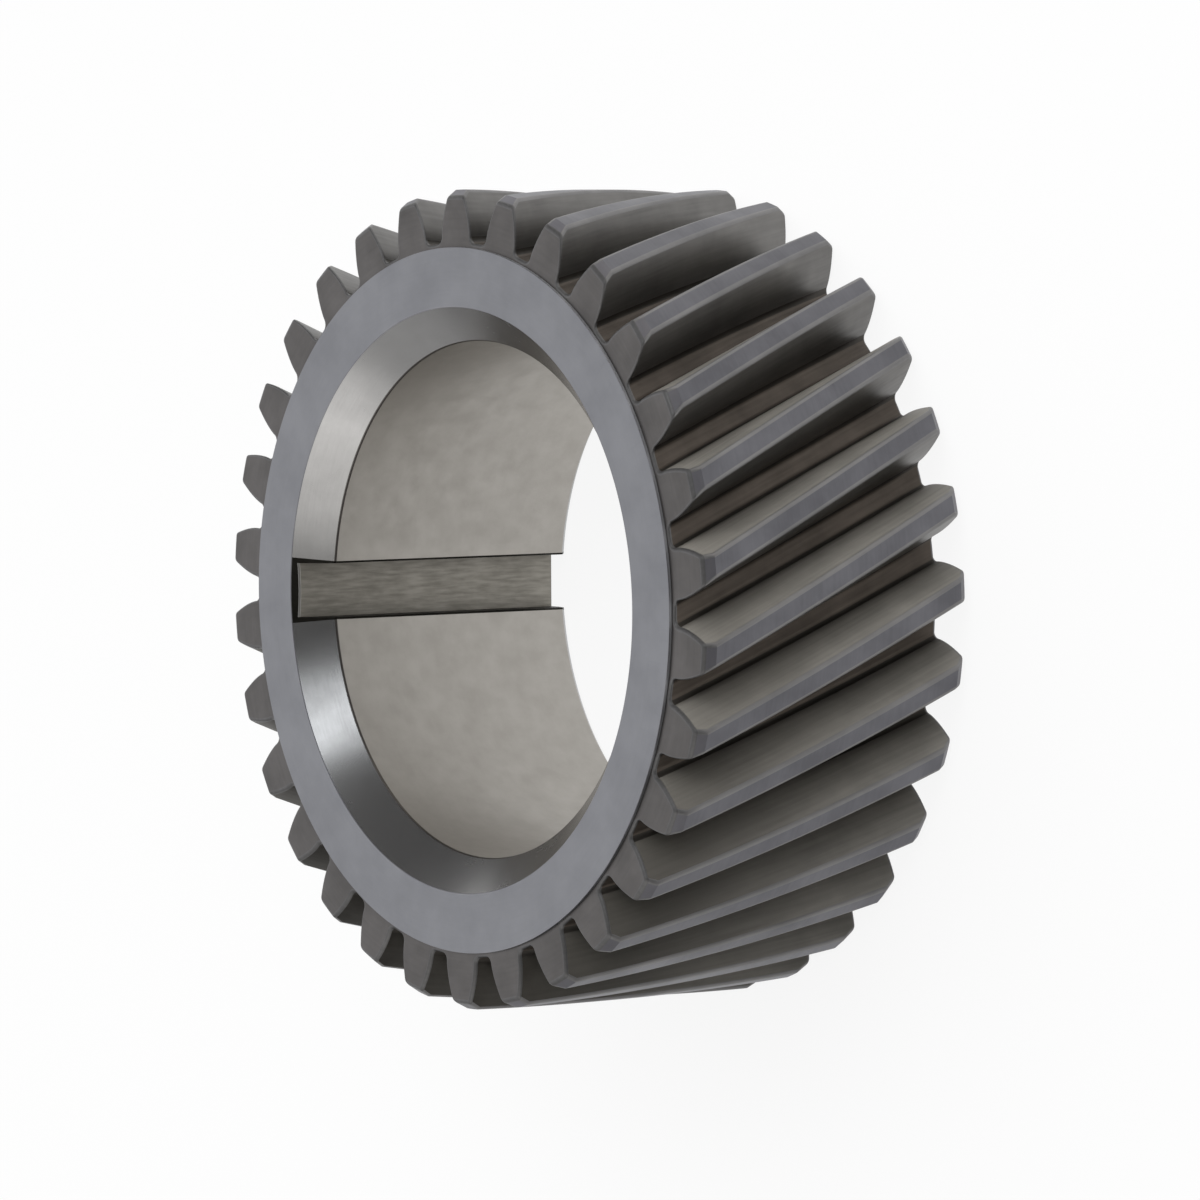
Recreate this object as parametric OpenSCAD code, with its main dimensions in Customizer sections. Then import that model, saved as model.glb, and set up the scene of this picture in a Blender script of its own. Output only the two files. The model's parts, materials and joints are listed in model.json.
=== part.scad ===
// Helical gear wheel with a wide bevelled bore mouth and one key slot.
// It stands on its back face: the bore runs along Z and its front mouth faces up.
// The origin is the middle of the bore on the back face, and all lengths are millimetres.

/* [Teeth] */
// Number of teeth
tooth_count = 30; // [26:1:40]
// Module of the teeth, measured square to them
normal_module = 4; // [3.5:0.1:6]
// Helix angle at the pitch circle, left-handed
helix_angle = 23.2; // [5:0.1:35]
// Pressure angle, measured square to the teeth
pressure_angle = 17.5; // [14.5:0.5:25]
// How far the teeth are shifted outwards, in modules
profile_shift = 0.2; // [0:0.05:0.4]
// Height of an unshifted tooth outside the pitch circle, in modules
addendum_factor = 0.9; // [0.8:0.05:1.1]
// Depth of an unshifted tooth space inside the pitch circle, in modules
dedendum_factor = 1.35; // [1.1:0.05:1.45]
// Radius of the fillets beside the floor of each tooth space
root_fillet_r = 1.2; // [0.4:0.1:1.5]
// How far the bevel at each end of the teeth comes down from their tips
tip_bevel_drop = 1.25; // [0.3:0.05:2]
// How far that bevel reaches along the teeth
tip_bevel_length = 1.9; // [0.5:0.1:4]

/* [Body] */
// Width of the gear over its two flat rings
gear_width = 56; // [30:0.5:80]
// How far the flat rings stand out from the ends of the teeth
ring_rise = 0.5; // [0.2:0.1:2]
// How far inside the floors of the tooth spaces the flat rings end
ring_setback = 0.75; // [0.25:0.05:2]

/* [Bore] */
// Diameter of the bore
bore_d = 88; // [60:0.5:100]
// How much wider than the bore the front mouth is, on each side
mouth_bevel_width = 5.85; // [1:0.05:7]
// How deep the bevel of the front mouth goes
mouth_bevel_depth = 5.4; // [1:0.1:12]
// Size of the small bevel at the back end of the bore
back_bevel = 1.3; // [0.5:0.1:4]

/* [Key slot] */
// Width of the key slot
key_slot_width = 9.5; // [5:0.5:20]
// Depth of the key slot below the wall of the bore
key_slot_depth = 4.6; // [2:0.1:8]

/* [Hidden] */
$fn = 180;

// Straight steps that stand for each curve of a tooth
flank_steps = 3;
fillet_steps = 2;
helix_steps = 10;

// How far a cutting shape runs past what it cuts
overrun = 1;

// Circles of the teeth
pitch_r = tooth_count * normal_module / (2 * cos(helix_angle));
tip_r = pitch_r + (addendum_factor + profile_shift) * normal_module;
root_r = pitch_r - (dedendum_factor - profile_shift) * normal_module;
end_pressure_angle = atan(tan(pressure_angle) / cos(helix_angle));
base_r = pitch_r * cos(end_pressure_angle);

// Circles and heights of the turned body
bore_r = bore_d / 2;
mouth_r = bore_r + mouth_bevel_width;
ring_r = root_r - ring_setback;
teeth_back_z = ring_rise;
teeth_front_z = gear_width - ring_rise;

// Turn of the helix for each millimetre along the bore
turn_per_mm = tan(helix_angle) / pitch_r * 180 / PI;

// Direction of an angle in the plane of the gear
function heading(angle) = [cos(angle), sin(angle)];

// Roll angle at which an involute of the base circle reaches a radius
function roll_to(radius) = sqrt(max(0, pow(radius / base_r, 2) - 1)) * 180 / PI;

// Difference between an involute's roll angle and the angle it has swept
function involute(roll) = roll - atan(roll * PI / 180);

// Half of a tooth space at the pitch circle, less what the shift adds to the teeth
pitch_half_angle = 90 / tooth_count - 2 * profile_shift * tan(pressure_angle) / tooth_count * 180 / PI;

// A tooth space lies along the X axis, and its upper flank leaves the base circle at this angle
flank_start_angle = pitch_half_angle - involute(roll_to(pitch_r));

// The fillet touches the floor and the flank, or a radial line where the floor is inside the base circle
fillet_center_r = root_r + root_fillet_r;
join_roll = max(0, roll_to(fillet_center_r) - root_fillet_r / base_r * 180 / PI);
fillet_lean = join_roll > 0 ? acos(base_r / fillet_center_r) : asin(root_fillet_r / fillet_center_r);
floor_half_angle = flank_start_angle + join_roll - fillet_lean;
outer_roll = roll_to(tip_r + overrun);

// Point of the upper flank at a roll angle
function flank_point(roll) =
    base_r * heading(flank_start_angle + roll)
    + base_r * roll * PI / 180 * heading(flank_start_angle + roll - 90);

// Point of the upper fillet, from 0 at the floor to 1 at the flank
function fillet_point(share) =
    fillet_center_r * heading(floor_half_angle)
    + root_fillet_r * heading(floor_half_angle + 180 - share * (90 - fillet_lean));

// Upper side of a tooth space, from its floor out past the tips
upper_side = concat(
    [for (i = [0 : fillet_steps]) fillet_point(i / fillet_steps)],
    [for (i = [1 : flank_steps]) flank_point(join_roll + (outer_roll - join_roll) * i / flank_steps)]
);
last_point = len(upper_side) - 1;
space_outline = concat(
    upper_side,
    [for (i = [last_point : -1 : 0]) [upper_side[i].x, -upper_side[i].y]]
);

// Body as it comes off the lathe, with every bevel and both flat rings
module turned_body() {
    rotate_extrude()
        polygon([
            [bore_r, back_bevel],
            [bore_r + back_bevel, 0],
            [ring_r, 0],
            [ring_r, teeth_back_z],
            [tip_r - tip_bevel_drop, teeth_back_z],
            [tip_r, teeth_back_z + tip_bevel_length],
            [tip_r, teeth_front_z - tip_bevel_length],
            [tip_r - tip_bevel_drop, teeth_front_z],
            [ring_r, teeth_front_z],
            [ring_r, gear_width],
            [mouth_r, gear_width],
            [bore_r, gear_width - mouth_bevel_depth]
        ]);
}

// All the spaces between the teeth. At the front ends of the teeth, one lies in line with the key slot
module tooth_spaces() {
    translate([0, 0, -overrun])
        rotate(180 + turn_per_mm * (teeth_front_z + overrun))
            linear_extrude(
                height = gear_width + 2 * overrun,
                twist = turn_per_mm * (gear_width + 2 * overrun),
                slices = helix_steps,
                segments = 1
            )
                for (i = [0 : tooth_count - 1])
                    rotate(360 / tooth_count * i)
                        polygon(space_outline);
}

// Slot for the key, cut into the wall of the bore from end to end
module key_slot() {
    floor_r = bore_r + key_slot_depth;
    translate([-floor_r, -key_slot_width / 2, -overrun])
        cube([floor_r, key_slot_width, gear_width + 2 * overrun]);
}

module gear_wheel() {
    color([0.45, 0.45, 0.46])
        difference() {
            turned_body();
            tooth_spaces();
            key_slot();
        }
}

gear_wheel();
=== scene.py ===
"""Looks of the helical gear wheel: its skin in fine detail, its steel, a plain studio and the camera.

The gear stands on its back face, with its bore along Z. Sizes are in millimetres until the mesh is made.
"""

import json
from math import acos, atan, atan2, cos, hypot, pi, radians, sin, sqrt, tan

import bpy
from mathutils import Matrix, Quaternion, Vector


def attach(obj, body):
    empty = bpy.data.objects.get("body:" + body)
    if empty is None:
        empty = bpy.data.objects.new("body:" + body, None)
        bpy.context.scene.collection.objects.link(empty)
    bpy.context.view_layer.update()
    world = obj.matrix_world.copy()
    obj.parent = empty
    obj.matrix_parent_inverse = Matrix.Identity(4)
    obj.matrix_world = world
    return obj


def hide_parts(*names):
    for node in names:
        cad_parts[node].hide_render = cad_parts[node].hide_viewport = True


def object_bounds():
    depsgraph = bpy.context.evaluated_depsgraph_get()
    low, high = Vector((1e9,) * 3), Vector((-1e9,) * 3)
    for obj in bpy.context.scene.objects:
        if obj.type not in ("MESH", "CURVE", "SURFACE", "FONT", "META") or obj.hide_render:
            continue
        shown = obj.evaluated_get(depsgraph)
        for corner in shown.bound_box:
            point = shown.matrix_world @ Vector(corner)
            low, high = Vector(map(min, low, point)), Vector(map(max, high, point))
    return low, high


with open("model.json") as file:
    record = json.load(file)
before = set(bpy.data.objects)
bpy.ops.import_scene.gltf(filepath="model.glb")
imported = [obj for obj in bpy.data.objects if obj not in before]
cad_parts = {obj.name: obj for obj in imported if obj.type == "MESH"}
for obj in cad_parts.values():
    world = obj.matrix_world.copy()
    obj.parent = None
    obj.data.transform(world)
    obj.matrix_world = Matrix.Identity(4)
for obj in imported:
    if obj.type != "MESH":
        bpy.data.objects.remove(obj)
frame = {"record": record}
cad_low, cad_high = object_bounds()

# Sizes of the gear, as in the solid
MM = 0.001
TOOTH_COUNT = 30
NORMAL_MODULE = 4
HELIX_ANGLE = radians(23.2)
PRESSURE_ANGLE = radians(17.5)
PROFILE_SHIFT = 0.2
ADDENDUM_FACTOR = 0.9
DEDENDUM_FACTOR = 1.35
ROOT_FILLET_R = 1.2
TIP_BEVEL_DROP = 1.25
TIP_BEVEL_LENGTH = 1.9
RING_RISE = 0.5
RING_SETBACK = 0.75
MOUTH_BEVEL_WIDTH = 5.85
MOUTH_BEVEL_DEPTH = 5.4
BACK_BEVEL = 1.3
SLOT_WIDTH = 9.5
SLOT_DEPTH = 4.6

# Broken edges, which the solid leaves as plain corners
TIP_ROUNDING = 0.9
END_ROUNDING = 0.5
RING_ROUNDING = 0.25
MOUTH_ROUNDING = 0.3
BORE_EDGE_ROUNDING = 0.5
SLOT_EDGE_ROUNDING = 0.4
SLOT_END_BREAK = 0.2

# How finely each curve is divided. The steps of a fillet next to the flank are painted dark as shade
FLOOR_STEPS = 1
FILLET_STEPS = 5
SHADED_FILLET_STEPS = 3
FLANK_STEPS = 9
CORNER_STEPS = 4
LAND_STEPS = 2
EDGE_STEPS = 4
HELIX_STEPS = 22
BORE_STEPS = 360
SLOT_FLOOR_STEPS = 4
SLOT_WALL_STEPS = 2
CREASE_ANGLE = radians(28)

# Sizes that the frame gives
mounts = {mount["name"]: mount for mount in frame["record"]["mounts"]}
bore_r = mounts["bore"]["dims"]["r_mm"]
gear_width = (cad_high.z - cad_low.z) / MM

# Circles and heights that follow
pitch_r = TOOTH_COUNT * NORMAL_MODULE / (2 * cos(HELIX_ANGLE))
tip_r = pitch_r + (ADDENDUM_FACTOR + PROFILE_SHIFT) * NORMAL_MODULE
root_r = pitch_r - (DEDENDUM_FACTOR - PROFILE_SHIFT) * NORMAL_MODULE
base_r = pitch_r * cos(atan(tan(PRESSURE_ANGLE) / cos(HELIX_ANGLE)))
mouth_r = bore_r + MOUTH_BEVEL_WIDTH
ring_r = root_r - RING_SETBACK
teeth_back_z = RING_RISE
teeth_front_z = gear_width - RING_RISE
turn_per_mm = tan(HELIX_ANGLE) / pitch_r
half_pitch_angle = pi / TOOTH_COUNT


def heading(angle):
    """Direction of an angle in the plane of the gear."""
    return Vector((cos(angle), sin(angle)))


def roll_to(radius):
    """Roll angle at which an involute of the base circle reaches a radius."""
    return sqrt(max(0, (radius / base_r) ** 2 - 1))


def shares(steps):
    """Even steps from 0 to 1, both ends included."""
    return [i / steps for i in range(steps + 1)]


def between(start, end, share):
    return start + (end - start) * share


# A tooth space that lies along +X: where its flank leaves the base circle, and the fillet beside its floor
space_half_angle = half_pitch_angle / 2 - 2 * PROFILE_SHIFT * tan(PRESSURE_ANGLE) / TOOTH_COUNT
pitch_roll = roll_to(pitch_r)
flank_start_angle = space_half_angle - (pitch_roll - atan(pitch_roll))
fillet_center_r = root_r + ROOT_FILLET_R
join_roll = roll_to(fillet_center_r) - ROOT_FILLET_R / base_r
fillet_lean = acos(base_r / fillet_center_r)
fillet_turn = pi / 2 - fillet_lean
floor_half_angle = flank_start_angle + join_roll - fillet_lean


def half_space(tip_limit, inset):
    """Points from the middle of a space's floor to the middle of the next tooth's tip.

    tip_limit is the radius of the tips there, and inset moves every point that far into the metal."""
    floor = [(root_r - inset) * heading(floor_half_angle * share) for share in shares(FLOOR_STEPS)[:-1]]

    fillet_center = fillet_center_r * heading(floor_half_angle)
    fillet = [
        fillet_center + (ROOT_FILLET_R + inset) * heading(floor_half_angle + pi - share * fillet_turn)
        for share in shares(FILLET_STEPS)[:-1]
    ]

    corner_center_r = tip_limit - TIP_ROUNDING
    corner_string = sqrt(corner_center_r ** 2 - base_r ** 2)
    corner_roll = (TIP_ROUNDING + corner_string) / base_r
    flank = []
    for share in shares(FLANK_STEPS)[:-1]:
        roll = between(join_roll, corner_roll, share)
        string = base_r * roll - inset
        angle = flank_start_angle + roll
        flank.append(base_r * heading(angle) + string * heading(angle - pi / 2))

    last_angle = flank_start_angle + corner_roll
    corner_center = base_r * heading(last_angle) + corner_string * heading(last_angle - pi / 2)
    corner_angle = atan2(corner_center.y, corner_center.x)
    corner = [
        corner_center + (TIP_ROUNDING - inset) * heading(between(last_angle - pi / 2, corner_angle, share))
        for share in shares(CORNER_STEPS)[:-1]
    ]

    land = [
        (tip_limit - inset) * heading(between(corner_angle, half_pitch_angle, share))
        for share in shares(LAND_STEPS)
    ]
    return floor + fillet + flank + corner + land


def half_space_zones(flank):
    """Zone of each step of half a space, with this name for the zone of its flank."""
    return (
        ["root"] * (FLOOR_STEPS + FILLET_STEPS - SHADED_FILLET_STEPS)
        + ["root_corner"] * SHADED_FILLET_STEPS
        + [flank] * FLANK_STEPS
        + ["tip_edge"] * CORNER_STEPS
        + ["land"] * LAND_STEPS
    )


# The flanks that face counter-clockwise, seen from the front, are the duller ones
tooth_zones = (half_space_zones("dark_flank")[::-1] + half_space_zones("worn_flank")) * TOOTH_COUNT
bevel_zones = ["tip_bevel" if zone == "land" else zone for zone in tooth_zones]
rounded_zones = ["end_edge"] * len(tooth_zones)


def tooth_loop(z, tip_limit, inset):
    """Section of all the teeth at a height, as points in the order of their angle."""
    half = half_space(tip_limit, inset)
    one_space = [Vector((point.x, -point.y)) for point in reversed(half[1:])] + half[:-1]
    loop = []
    for i in range(TOOTH_COUNT):
        turned = heading(pi + turn_per_mm * (teeth_front_z - z) + 2 * half_pitch_angle * i)
        for point in one_space:
            x = point.x * turned.x - point.y * turned.y
            y = point.x * turned.y + point.y * turned.x
            loop.append((x, y, z))
    return loop


def circle_under(loop, radius, z):
    """Circle with a point in line with each point of a loop."""
    return [(radius * x / hypot(x, y), radius * y / hypot(x, y), z) for x, y, _ in loop]


def soft_corner(before, corner, after, reach, steps):
    """Points that round a corner off, beginning and ending at a reach from it."""
    start = corner + (before - corner).normalized() * reach
    end = corner + (after - corner).normalized() * reach
    return [
        (1 - share) ** 2 * start + 2 * share * (1 - share) * corner + share ** 2 * end
        for share in shares(steps)
    ]


def opening_columns():
    """Section of the bore with its key slot, as (angle, radius, zone of the strip that follows)."""
    half_width = SLOT_WIDTH / 2
    floor_x = bore_r + SLOT_DEPTH
    round_y = half_width + SLOT_EDGE_ROUNDING
    round_x = sqrt((bore_r + SLOT_EDGE_ROUNDING) ** 2 - round_y ** 2)
    round_angle = atan2(round_y, round_x)

    points = [
        (Vector((floor_x, half_width * share)), "slot_floor")
        for share in shares(SLOT_FLOOR_STEPS)[:-1]
    ]
    for share in shares(SLOT_WALL_STEPS)[:-1]:
        points.append((Vector((between(floor_x, round_x, share), half_width)), "slot_side"))
    for share in shares(EDGE_STEPS)[:-1]:
        direction = between(1.5 * pi, round_angle + pi, share)
        points.append((Vector((round_x, round_y)) + SLOT_EDGE_ROUNDING * heading(direction), "slot_side"))

    upper = [(atan2(point.y, point.x), point.length, zone) for point, zone in points]
    middle = [
        (between(round_angle, 2 * pi - round_angle, share), bore_r, "bore")
        for share in shares(BORE_STEPS)
    ]
    middle[-1] = (*middle[-1][:2], upper[-1][2])
    lower = [
        (2 * pi - upper[i][0], upper[i][1], upper[i - 1][2])
        for i in range(len(upper) - 1, 0, -1)
    ]
    return [(angle + pi, radius, zone) for angle, radius, zone in upper + middle + lower]


def wall_profile(wall_r):
    """Points (radius, height) of a wall with this radius, from the front mouth down to the back face."""
    cone_z = gear_width - MOUTH_BEVEL_DEPTH * (mouth_r - wall_r) / MOUTH_BEVEL_WIDTH
    face = Vector((ring_r, gear_width))
    mouth = Vector((mouth_r, gear_width))
    wall_top = Vector((wall_r, cone_z))
    wall_end = Vector((wall_r, max(SLOT_END_BREAK, BACK_BEVEL - (wall_r - bore_r))))
    back = Vector((max(wall_r + SLOT_END_BREAK, bore_r + BACK_BEVEL), 0))
    return (
        soft_corner(face, mouth, wall_top, MOUTH_ROUNDING / 2, EDGE_STEPS)
        + soft_corner(mouth, wall_top, wall_end, BORE_EDGE_ROUNDING / 2, EDGE_STEPS)
        + [wall_end, back]
    )


def wall_zones():
    """What each zone of the opening becomes on the way down, with one dictionary for each strip."""
    # Where the slot meets the bevels, its ends take the painted shade of its sides
    mouth_edge = {"bore": "ring_edge", "slot_floor": "ring_edge", "slot_side": "ring_edge"}
    mouth_bevel = {"bore": "mouth_bevel", "slot_floor": "slot_side", "slot_side": "slot_side"}
    # On the rounded edge of the bore, the bore takes a painted dark reflection and the slot floor a painted
    # highlight
    bore_edge = {"bore": "bore_edge", "slot_floor": "slot_lip", "slot_side": "slot_side"}
    wall = {"bore": "bore", "slot_floor": "slot_floor", "slot_side": "slot_side"}
    back = {"bore": "back_bevel", "slot_floor": "slot_side", "slot_side": "slot_side"}
    return [mouth_edge] * EDGE_STEPS + [mouth_bevel] + [bore_edge] * EDGE_STEPS + [wall, back]


class Skin:
    """Closed surface of the gear: points, faces and the zone of each face."""

    def __init__(self):
        self.points = []
        self.faces = []
        self.zones = []

    def add(self, loop):
        """Adds a loop of points, and gives back their numbers."""
        first = len(self.points)
        self.points.extend(loop)
        return list(range(first, len(self.points)))

    def strip(self, start, end, zones):
        """Four-sided faces between two loops with as many points."""
        count = len(start)
        for i in range(count):
            j = (i + 1) % count
            self.faces.append((start[i], start[j], end[j], end[i]))
            self.zones.append(zones[i])

    def in_order(self, loop):
        """Loop from its lowest angle on, with the angle of each point."""
        angles = [atan2(self.points[i][1], self.points[i][0]) for i in loop]
        first = angles.index(min(angles))
        loop = loop[first:] + loop[:first]
        angles = angles[first:] + angles[:first]
        return loop + loop[:1], angles + [angles[0] + 2 * pi]

    def flat_ring(self, start, end, zone):
        """Triangles between two loops in one plane, whatever the number of their points."""
        start, start_angles = self.in_order(start)
        end, end_angles = self.in_order(end)
        i = j = 0
        while i < len(start) - 1 or j < len(end) - 1:
            if j == len(end) - 1 or (i < len(start) - 1 and start_angles[i + 1] <= end_angles[j + 1]):
                self.faces.append((start[i], start[i + 1], end[j]))
                i += 1
            else:
                self.faces.append((start[i], end[j + 1], end[j]))
                j += 1
            self.zones.append(zone)


def end_stations():
    """Stations of the teeth from one end inwards, as (depth, tip limit, inset)."""
    stations = []
    for share in shares(EDGE_STEPS):
        depth = END_ROUNDING * (1 - cos(share * pi / 2))
        inset = END_ROUNDING * (1 - sin(share * pi / 2))
        tip_limit = tip_r - TIP_BEVEL_DROP * (1 - depth / TIP_BEVEL_LENGTH)
        stations.append((depth, tip_limit, inset))
    stations.append((TIP_BEVEL_LENGTH, tip_r, 0))
    return stations


def add_teeth(skin):
    """Strips of the teeth, from the back up to the front. Gives back the outlines of both ends."""
    ends = end_stations()
    straight_start = teeth_back_z + TIP_BEVEL_LENGTH
    straight_end = teeth_front_z - TIP_BEVEL_LENGTH
    stations = [(teeth_back_z + depth, limit, inset) for depth, limit, inset in ends]
    stations += [
        (between(straight_start, straight_end, share), tip_r, 0)
        for share in shares(HELIX_STEPS)[1:-1]
    ]
    stations += [(teeth_front_z - depth, limit, inset) for depth, limit, inset in reversed(ends)]

    outlines = [skin.add(tooth_loop(*station)) for station in stations]
    last_strip = len(outlines) - 2
    bevel_strip = len(ends) - 2
    for i in range(last_strip + 1):
        from_end = min(i, last_strip - i)
        zones = tooth_zones
        if from_end == bevel_strip:
            zones = bevel_zones
        if from_end < bevel_strip:
            zones = rounded_zones
        skin.strip(outlines[i], outlines[i + 1], zones)
    return outlines[0], outlines[-1]


def add_end_face(skin, outline, teeth_z, ring_z):
    """Strips of the tooth ends, the step and the ring's edge. Gives back the outline of the flat ring."""
    foot = Vector((ring_r, teeth_z))
    edge = Vector((ring_r, ring_z))
    inner = Vector((bore_r, ring_z))
    profile = [foot] + soft_corner(foot, edge, inner, RING_ROUNDING / 2, EDGE_STEPS)
    teeth = [skin.points[i] for i in outline]
    walk = [outline] + [skin.add(circle_under(teeth, point.x, point.y)) for point in profile]
    names = ["tooth_end", "step"] + ["ring_edge"] * EDGE_STEPS
    for i, name in enumerate(names):
        start, end = walk[i], walk[i + 1]
        if ring_z < teeth_z:
            start, end = end, start
        skin.strip(start, end, [name] * len(outline))
    return walk[-1]


def add_opening(skin):
    """Strips of the bore and its key slot, from the front down to the back. Gives back both end loops."""
    columns = opening_columns()
    profiles = [wall_profile(radius) for _, radius, _ in columns]
    walls = []
    for level in range(len(profiles[0])):
        walls.append(skin.add([
            (profile[level].x * cos(angle), profile[level].x * sin(angle), profile[level].y)
            for (angle, _, _), profile in zip(columns, profiles)
        ]))
    for level, zone_of in enumerate(wall_zones()):
        skin.strip(walls[level], walls[level + 1], [zone_of[zone] for _, _, zone in columns])
    return walls[0], walls[-1]


def gear_skin():
    """The whole surface in one walk: up the teeth, in over the front, down the bore, out at the back."""
    skin = Skin()
    back_outline, front_outline = add_teeth(skin)
    front_ring = add_end_face(skin, front_outline, teeth_front_z, gear_width)
    back_ring = add_end_face(skin, back_outline, teeth_back_z, 0)
    front_mouth, back_mouth = add_opening(skin)
    skin.flat_ring(front_ring, front_mouth, "ring")
    skin.flat_ring(back_mouth, back_ring, "ring")
    return skin


# Sockets of a mix node for colours: its two colours and its result
MIX_FIRST = 6
MIX_SECOND = 7
MIX_RESULT = 2


class Nodes:
    """Short ways to add nodes to one material or world."""

    def __init__(self, owner):
        owner.use_nodes = True
        self.tree = owner.node_tree
        self.tree.nodes.clear()

    def add(self, kind, inputs=(), **settings):
        """A node with its settings, and with each input linked to a socket or set to a value."""
        node = self.tree.nodes.new(kind)
        for name, value in settings.items():
            setattr(node, name, value)
        for key, value in dict(inputs).items():
            if isinstance(value, bpy.types.NodeSocket):
                self.tree.links.new(value, node.inputs[key])
            else:
                node.inputs[key].default_value = value
        return node

    def math(self, operation, first, second=0.0):
        return self.add("ShaderNodeMath", {0: first, 1: second}, operation=operation).outputs[0]

    def times(self, first, second):
        return self.math("MULTIPLY", first, second)

    def vector(self, x, y, z):
        return self.add("ShaderNodeCombineXYZ", {0: x, 1: y, 2: z}).outputs[0]

    def parts(self, vector):
        return self.add("ShaderNodeSeparateXYZ", {0: vector}).outputs

    def dot(self, first, second):
        node = self.add("ShaderNodeVectorMath", {0: first, 1: second}, operation="DOT_PRODUCT")
        return node.outputs["Value"]

    def scaled(self, vector, factor):
        return self.add("ShaderNodeVectorMath", {0: vector, "Scale": factor}, operation="SCALE").outputs[0]

    def together(self, first, second):
        return self.add("ShaderNodeVectorMath", {0: first, 1: second}, operation="ADD").outputs[0]

    def noise(self, vector, scale, detail, roughness=0.5):
        inputs = {"Vector": vector, "Scale": scale, "Detail": detail, "Roughness": roughness}
        return self.add("ShaderNodeTexNoise", inputs).outputs["Fac"]

    def span(self, value, low, high, new_low, new_high):
        """A value from low to high, stretched to run from new_low to new_high."""
        inputs = {0: value, 1: low, 2: high, 3: new_low, 4: new_high}
        return self.add("ShaderNodeMapRange", inputs).outputs[0]

    def mix(self, share, first, second):
        """A colour between two colours, each of which is a socket or a written colour."""
        inputs = {0: share}
        for key, colour in ((MIX_FIRST, first), (MIX_SECOND, second)):
            inputs[key] = colour if isinstance(colour, bpy.types.NodeSocket) else (*colour, 1)
        return self.add("ShaderNodeMix", inputs, data_type="RGBA").outputs[MIX_RESULT]


def around(nodes, place):
    """Radius, height and the two parts of a direction round the bore, from a point in metres."""
    x, y, z = nodes.parts(place)
    radius = nodes.math("SQRT", nodes.math("ADD", nodes.times(x, x), nodes.times(y, y)))
    return radius, z, nodes.math("DIVIDE", x, radius), nodes.math("DIVIDE", y, radius)


# How much of their direction the coordinates of tool marks keep, which draws the marks out into lines
TURNED_STRETCH = 0.004
SLOT_STRETCH = 0.12
TOOTH_STRETCH = 0.05


def turned_lines(nodes, place):
    """Coordinates whose lines run round the bore on a face that faces up, down or inwards."""
    radius, height, east, north = around(nodes, place)
    across = nodes.math("ADD", radius, height)
    return nodes.vector(across, nodes.times(east, TURNED_STRETCH), nodes.times(north, TURNED_STRETCH))


def slot_lines(nodes, place):
    """Coordinates whose lines run along the key slot."""
    x, y, z = nodes.parts(place)
    return nodes.vector(nodes.math("ADD", x, y), nodes.times(z, SLOT_STRETCH), 0.0)


def tooth_lines(nodes, place):
    """Coordinates whose lines run along the teeth, which turn with height."""
    height = nodes.parts(place)[2]
    inputs = {"Vector": place, "Angle": nodes.times(height, turn_per_mm / MM)}
    straight = nodes.add("ShaderNodeVectorRotate", inputs, rotation_type="Z_AXIS").outputs[0]
    x, y, _ = nodes.parts(straight)
    return nodes.vector(x, y, nodes.times(height, TOOTH_STRETCH))


# Painted shade on the flanks: how far it reaches up from the roots and back from the front, and how much lies
# there
PAINTED_SHADE_COLOUR = (0.022, 0.019, 0.015)
SHADE_HEIGHT = 3.2
SHADE_REACH = 42
SHADE_AT_ROOT = 0.75
SHADE_AT_FRONT = 0.95
LIGHTER_SIDE_SHARE = 0.25
LIGHTER_PATCH_SHARE = 0.75

# Where the painted shade on the lower teeth is darkest and where that ends, as the Y part of the direction
# from the bore
DARKEST_NORTH = -0.75
LIGHTER_NORTH = -0.2


def shade_on_flank(nodes, place, blotch):
    """How much painted shade lies on a flank: a band beside every root, and more over the front of the lower
    teeth.
    """
    radius, height, _, north = around(nodes, place)
    band_start = (root_r + ROOT_FILLET_R / 2) * MM
    beside_root = nodes.span(radius, band_start, (root_r + SHADE_HEIGHT) * MM, SHADE_AT_ROOT, 0.0)
    reach_end = (teeth_front_z - SHADE_REACH) * MM
    near_front = nodes.span(height, reach_end, teeth_front_z * MM, 0.0, SHADE_AT_FRONT)
    shaded_side = nodes.span(north, DARKEST_NORTH, LIGHTER_NORTH, 1.0, LIGHTER_SIDE_SHARE)
    most = nodes.math("MAXIMUM", beside_root, nodes.times(near_front, shaded_side))
    return nodes.times(most, nodes.span(blotch, *BLOTCH_SPAN, LIGHTER_PATCH_SHARE, 1.0))


# Noise of the steel: its detail, and the part of its range in which tone, painted shade and gloss change
LINE_DETAIL = 3
BLOTCH_DETAIL = 4
BLOTCH_ROUGHNESS = 0.6
BLOTCH_SPAN = (0.35, 0.65)
TONE_SPAN = (0.36, 0.64)
GLOSS_SPAN = (0.3, 0.7)
GLOSS_SPREAD = 0.04
STEEL_SHEEN = 0.5
SHADE_SHEEN = 0.1


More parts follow.
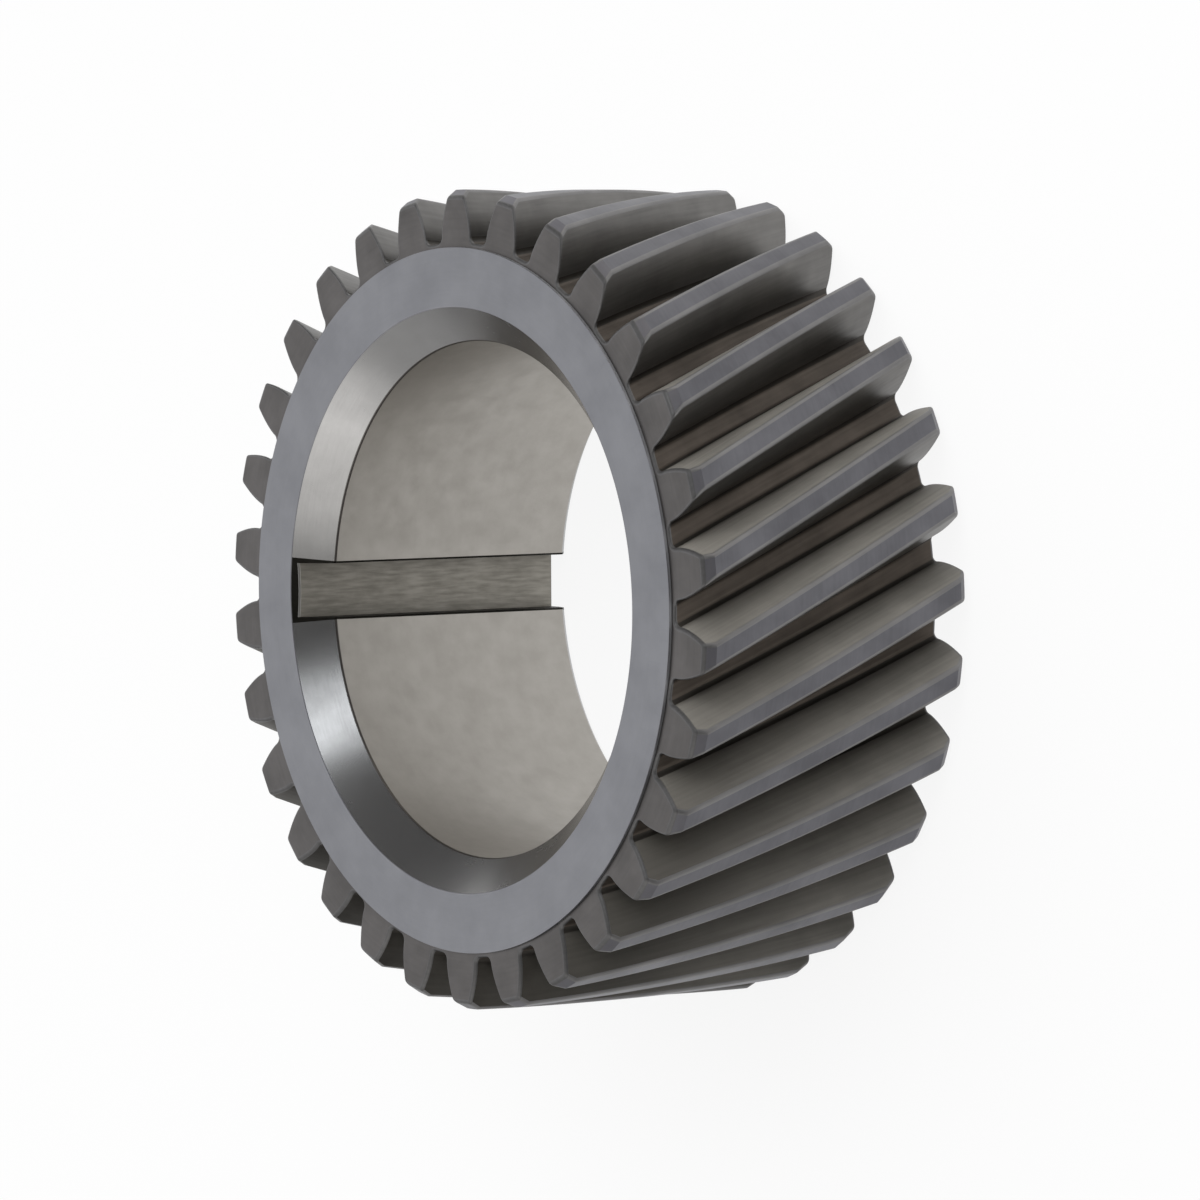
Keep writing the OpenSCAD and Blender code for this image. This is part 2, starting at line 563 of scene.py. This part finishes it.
def steel(
    name, dark, light, roughness, lines=turned_lines, line_scale=2500, line_depth=0.001,
    line_share=0.35, blotch_scale=90, metal=1.0, painted_shade=0.0,
):
    """Steel with tool lines and cloudy blotches in its colour and gloss, and with painted shade on a flank if
    its last argument is over 0.

    line_depth is in millimetres, and line_share is how much of the tone the lines make."""
    material = bpy.data.materials.new(name)
    nodes = Nodes(material)
    place = nodes.add("ShaderNodeTexCoord").outputs["Object"]
    line = nodes.noise(lines(nodes, place), line_scale, LINE_DETAIL)
    blotch = nodes.noise(place, blotch_scale, BLOTCH_DETAIL, BLOTCH_ROUGHNESS)
    tone = nodes.math("ADD", nodes.times(blotch, 1 - line_share), nodes.times(line, line_share))
    colour = nodes.mix(nodes.span(tone, *TONE_SPAN, 0.0, 1.0), dark, light)
    sheen = STEEL_SHEEN
    # Painted shade: the flank turns darker and duller beside the roots, over the front and on the lower teeth
    if painted_shade > 0:
        amount = nodes.times(shade_on_flank(nodes, place, blotch), painted_shade)
        colour = nodes.mix(amount, colour, PAINTED_SHADE_COLOUR)
        metal = nodes.span(amount, 0.0, 1.0, metal, 0.0)
        sheen = nodes.span(amount, 0.0, 1.0, STEEL_SHEEN, SHADE_SHEEN)
    gloss = nodes.span(tone, *GLOSS_SPAN, roughness + GLOSS_SPREAD, roughness - GLOSS_SPREAD)
    bump = nodes.add("ShaderNodeBump", {"Height": line, "Strength": 1.0, "Distance": line_depth * MM})
    shader = nodes.add("ShaderNodeBsdfPrincipled", {
        "Base Color": colour,
        "Metallic": metal,
        "Specular IOR Level": sheen,
        "Roughness": gloss,
        "Normal": bump.outputs[0],
    })
    nodes.add("ShaderNodeOutputMaterial", {"Surface": shader.outputs[0]})
    return material


def turned_materials():
    """Finishes of the turned rings and bevels, and of the ground bore."""
    return {
        "ring": steel(
            "turned_ring", (0.218, 0.222, 0.234), (0.243, 0.247, 0.259), roughness=0.38, line_share=0.15,
        ),
        "ring_edge": steel("ring_edge", (0.22, 0.22, 0.24), (0.28, 0.28, 0.29), roughness=0.38),
        # The step is painted darker than the ring: painted shade that draws a thin dark line round the ring's
        # edge
        "step": steel(
            "ring_step", (0.14, 0.14, 0.147), (0.18, 0.18, 0.187), roughness=0.5,
            line_depth=0.002, metal=0.2,
        ),
        "mouth_bevel": steel(
            "mouth_bevel", (0.38, 0.375, 0.37), (0.43, 0.425, 0.42), roughness=0.25, line_share=0.2,
        ),
        "back_bevel": steel("back_bevel", (0.30, 0.30, 0.30), (0.36, 0.36, 0.36), roughness=0.3),
        # The rounded edge into the bore is painted dark: a painted dark reflection
        "bore_edge": steel("bore_edge", (0.13, 0.12, 0.115), (0.17, 0.16, 0.15), roughness=0.4),
        "bore": steel(
            "ground_bore", (0.41, 0.39, 0.36), (0.435, 0.415, 0.385), roughness=0.45,
            line_scale=1600, line_depth=0.0006, line_share=0.1, blotch_scale=260,
        ),
    }


def tooth_materials():
    """Finishes of the teeth: turned on their ends and tips, and hobbed along their sides."""
    return {
        "tooth_end": steel(
            "tooth_end", (0.107, 0.102, 0.098), (0.14, 0.133, 0.128), roughness=0.45,
            line_scale=1800, line_depth=0.003, line_share=0.2,
        ),
        "end_edge": steel(
            "end_edge", (0.115, 0.113, 0.112), (0.15, 0.147, 0.146), roughness=0.45,
            lines=tooth_lines, line_scale=1500, line_depth=0.002, metal=0.8,
        ),
        "tip_bevel": steel(
            "tip_bevel", (0.128, 0.125, 0.138), (0.166, 0.163, 0.176), roughness=0.45,
            line_scale=1800, line_depth=0.003, metal=0.7,
        ),
        "tip_edge": steel(
            "tip_edge", (0.165, 0.162, 0.162), (0.215, 0.21, 0.208), roughness=0.45,
            lines=tooth_lines, line_scale=1500, line_depth=0.002, metal=0.85,
        ),
        "land": steel(
            "tooth_land", (0.118, 0.117, 0.128), (0.152, 0.151, 0.164), roughness=0.42,
            line_scale=1800, line_depth=0.003, line_share=0.2,
        ),
        # Both flanks carry painted shade beside the roots, over the front and on the lower teeth
        "dark_flank": steel(
            "dark_flank", (0.145, 0.137, 0.121), (0.225, 0.212, 0.188), roughness=0.55,
            lines=tooth_lines, line_scale=1500, line_depth=0.003, line_share=0.3,
            blotch_scale=60, metal=0.2, painted_shade=1.0,
        ),
        "worn_flank": steel(
            "worn_flank", (0.135, 0.131, 0.126), (0.205, 0.199, 0.191), roughness=0.42,
            lines=tooth_lines, line_scale=1500, line_depth=0.003, line_share=0.3,
            blotch_scale=60, painted_shade=0.7,
        ),
        "root": steel(
            "tooth_root", (0.062, 0.050, 0.040), (0.100, 0.082, 0.067), roughness=0.5,
            lines=tooth_lines, line_scale=1500, line_depth=0.004, metal=0.7,
        ),
        # The corner of each root is painted near black: painted shade in the crease beside the flank
        "root_corner": steel(
            "root_corner", (0.035, 0.031, 0.026), (0.06, 0.053, 0.045), roughness=0.55,
            lines=tooth_lines, line_scale=1500, line_depth=0.004, metal=0.7,
        ),
    }


def slot_materials():
    """Finishes of the key slot: a floor with lines along it, a lip painted light as a highlight and sides
    painted near black as shade.
    """
    return {
        "slot_floor": steel(
            "slot_floor", (0.22, 0.208, 0.182), (0.31, 0.295, 0.262), roughness=0.5,
            lines=slot_lines, line_scale=1800, line_depth=0.004, line_share=0.7, blotch_scale=200,
        ),
        # The lip is painted light: a painted highlight along the rounded edge of the slot floor
        "slot_lip": steel(
            "slot_lip", (0.45, 0.44, 0.42), (0.55, 0.54, 0.52), roughness=0.4,
            lines=slot_lines, line_scale=1200, line_depth=0.002,
        ),
        # The sides are painted near black: painted shade of the deep slot, also on the slot's ends across the
        # bevels
        "slot_side": steel(
            "slot_side", (0.012, 0.012, 0.010), (0.03, 0.028, 0.024), roughness=0.5,
            lines=slot_lines, line_scale=1200, line_depth=0.006,
        ),
    }


def make_gear():
    skin = gear_skin()
    mesh = bpy.data.meshes.new("gear_skin")
    mesh.from_pydata([Vector(point) * MM for point in skin.points], [], skin.faces)
    materials = {**turned_materials(), **tooth_materials(), **slot_materials()}
    names = list(materials)
    for material in materials.values():
        mesh.materials.append(material)
    mesh.polygons.foreach_set("material_index", [names.index(zone) for zone in skin.zones])
    mesh.shade_smooth()
    mesh.set_sharp_from_angle(angle=CREASE_ANGLE)
    mesh.validate()
    gear = bpy.data.objects.new("gear_skin", mesh)
    bpy.context.scene.collection.objects.link(gear)
    shading = gear.modifiers.new("flat_faces_stay_flat", "WEIGHTED_NORMAL")
    shading.keep_sharp = True
    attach(gear, "root")
    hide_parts("gear_wheel")


# Camera, as the photograph was taken: from the bore's front and side, with the bore lying across the picture
LENS_MM = 204.73
SENSOR_MM = 36
VIEW_AZIMUTH = radians(3.637)
VIEW_ELEVATION = radians(36.623)
VIEW_ROLL = radians(-92.491)
VIEW_DISTANCE = 1.19
VIEW_AIM = Vector((-0.01107, -0.00164, 0.01717))
NEAREST_SEEN = 0.1
FARTHEST_SEEN = 20


def make_camera():
    data = bpy.data.cameras.new("camera")
    data.lens = LENS_MM
    data.sensor_width = SENSOR_MM
    data.clip_start = NEAREST_SEEN
    data.clip_end = FARTHEST_SEEN
    camera = bpy.data.objects.new("camera", data)
    away = Vector((
        cos(VIEW_AZIMUTH) * cos(VIEW_ELEVATION),
        sin(VIEW_AZIMUTH) * cos(VIEW_ELEVATION),
        sin(VIEW_ELEVATION),
    ))
    camera.location = VIEW_AIM + away * VIEW_DISTANCE
    camera.rotation_mode = "QUATERNION"
    level = away.to_track_quat("Z", "Y")
    camera.rotation_quaternion = level @ Quaternion((0, 0, 1), VIEW_ROLL)
    bpy.context.scene.collection.objects.link(camera)
    bpy.context.scene.camera = camera


FLOOR_SIZE = 8
FLOOR_PAINT = (0.85, 0.85, 0.85, 1)
FLOOR_ROUGHNESS = 0.8
FLOOR_GLOW = (1, 1, 1, 1)
FLOOR_GLOW_SHARE = 0.9


def seen_directly(nodes):
    """1 for what the camera sees itself, in a mirror or through glass, and 0 for the light on the object."""
    path = nodes.add("ShaderNodeLightPath").outputs
    rays = nodes.math("MAXIMUM", path["Is Camera Ray"], path["Is Glossy Ray"])
    return nodes.math("MAXIMUM", rays, path["Is Transmission Ray"])


def make_floor():
    """Plain pale floor under the gear. It shows white, and keeps a little of the shadow."""
    mesh = bpy.data.meshes.new("floor")
    half = FLOOR_SIZE / 2
    corners = [(-half, -half, 0), (half, -half, 0), (half, half, 0), (-half, half, 0)]
    mesh.from_pydata(corners, [], [(0, 1, 2, 3)])
    floor = bpy.data.objects.new("floor", mesh)
    bpy.context.scene.collection.objects.link(floor)
    material = bpy.data.materials.new("pale_floor")
    nodes = Nodes(material)
    paint = nodes.add("ShaderNodeBsdfPrincipled", {"Base Color": FLOOR_PAINT, "Roughness": FLOOR_ROUGHNESS})
    glow = nodes.add("ShaderNodeEmission", {"Color": FLOOR_GLOW, "Strength": 1.0})
    share = nodes.times(seen_directly(nodes), FLOOR_GLOW_SHARE)
    both = nodes.add("ShaderNodeMixShader", {0: share, 1: paint.outputs[0], 2: glow.outputs[0]})
    nodes.add("ShaderNodeOutputMaterial", {"Surface": both.outputs[0]})
    mesh.materials.append(material)


# Soft lights of the studio as polished steel shows them: azimuth, elevation, reach, brightness and colour
HIGH_LIGHTS = (
    (-68, 46, 38, 1.1, (1.0, 0.99, 0.97)),
    (-110, 20, 45, 0.42, (1.0, 1.0, 1.0)),
    (184, 38, 48, 1.0, (0.97, 0.97, 1.0)),
)
LOW_LIGHTS = (
    (82, 0, 24, 1.4, (1.0, 0.92, 0.81)),
)
LIGHT_CORE = 0.3
CEILING_LEVEL = 0.06
HORIZON_FADE = 7

# The studio is bright round one direction and dim away from it, between limits that are cosines of the angle
BRIGHT_DIRECTION = (92, 5)
DIM_LIMIT = -0.1
BRIGHT_LIMIT = 0.75
DIM_LEVEL = 0.12
BRIGHT_LEVEL = 1.6

# How much stronger the studio lights a dull surface than steel shows it
PLAIN_LEVEL = 1.6
WHITE = (1.0, 1.0, 1.0)


def sky_direction(azimuth, elevation):
    """Direction into the studio, from two angles in degrees."""
    level = cos(radians(elevation))
    return Vector((cos(radians(azimuth)) * level, sin(radians(azimuth)) * level, sin(radians(elevation))))


def add_lights(nodes, glow, direction, lights):
    """A glow with round soft lights added to it."""
    for azimuth, elevation, reach, brightness, colour in lights:
        nearness = nodes.dot(direction, nodes.vector(*sky_direction(azimuth, elevation)))
        edge = cos(radians(reach))
        core = cos(radians(reach * LIGHT_CORE))
        share = nodes.span(nearness, edge, core, 0.0, brightness)
        glow = nodes.together(glow, nodes.scaled(nodes.vector(*colour), share))
    return glow


def make_world():
    """White all round for the camera, and for the light on the gear a studio that is brighter on one side.

    Steel shows that side just over the horizon, and soft lights on a dim ceiling above it."""
    world = bpy.data.worlds.new("studio")
    bpy.context.scene.world = world
    nodes = Nodes(world)
    direction = nodes.add("ShaderNodeTexCoord").outputs["Generated"]
    nearness = nodes.dot(direction, nodes.vector(*sky_direction(*BRIGHT_DIRECTION)))
    level = nodes.span(nearness, DIM_LIMIT, BRIGHT_LIMIT, DIM_LEVEL, BRIGHT_LEVEL)
    side = nodes.vector(level, level, level)

    height = nodes.parts(direction)[2]
    rise = nodes.span(height, 0.0, sin(radians(HORIZON_FADE)), 0.0, 1.0)
    ceiling = nodes.vector(CEILING_LEVEL, CEILING_LEVEL, CEILING_LEVEL)
    ceiling = add_lights(nodes, ceiling, direction, HIGH_LIGHTS)
    on_steel = add_lights(nodes, nodes.mix(rise, side, ceiling), direction, LOW_LIGHTS)
    on_dull = nodes.scaled(side, PLAIN_LEVEL)

    path = nodes.add("ShaderNodeLightPath").outputs
    on_gear = nodes.mix(path["Is Glossy Ray"], on_dull, on_steel)
    straight = nodes.math("MAXIMUM", path["Is Camera Ray"], path["Is Transmission Ray"])
    colour = nodes.mix(straight, on_gear, WHITE)
    background = nodes.add("ShaderNodeBackground", {"Color": colour, "Strength": 1.0})
    nodes.add("ShaderNodeOutputWorld", {"Surface": background.outputs[0]})


# Square lamp high on the bright side. Its level is the brightness of its face, where white is 1
SOFTBOX_DIRECTION = (60, 51)
SOFTBOX_DISTANCE = 1.1
SOFTBOX_SIZE = 0.42
SOFTBOX_LEVEL = 2.2
SOFTBOX_COLOUR = (0.92, 0.96, 1.0)


def make_softbox():
    """The one lamp, aimed at the middle of the gear."""
    data = bpy.data.lights.new("high_softbox", "AREA")
    data.shape = "SQUARE"
    data.size = SOFTBOX_SIZE
    data.energy = SOFTBOX_LEVEL * pi * SOFTBOX_SIZE * SOFTBOX_SIZE
    data.color = SOFTBOX_COLOUR
    lamp = bpy.data.objects.new("high_softbox", data)
    lamp.location = sky_direction(*SOFTBOX_DIRECTION) * SOFTBOX_DISTANCE
    middle = Vector((0, 0, gear_width / 2 * MM))
    lamp.rotation_mode = "QUATERNION"
    lamp.rotation_quaternion = (lamp.location - middle).to_track_quat("Z", "Y")
    bpy.context.scene.collection.objects.link(lamp)


make_gear()
make_camera()
make_floor()
make_world()
make_softbox()

bpy.context.scene.view_settings.view_transform = "Standard"
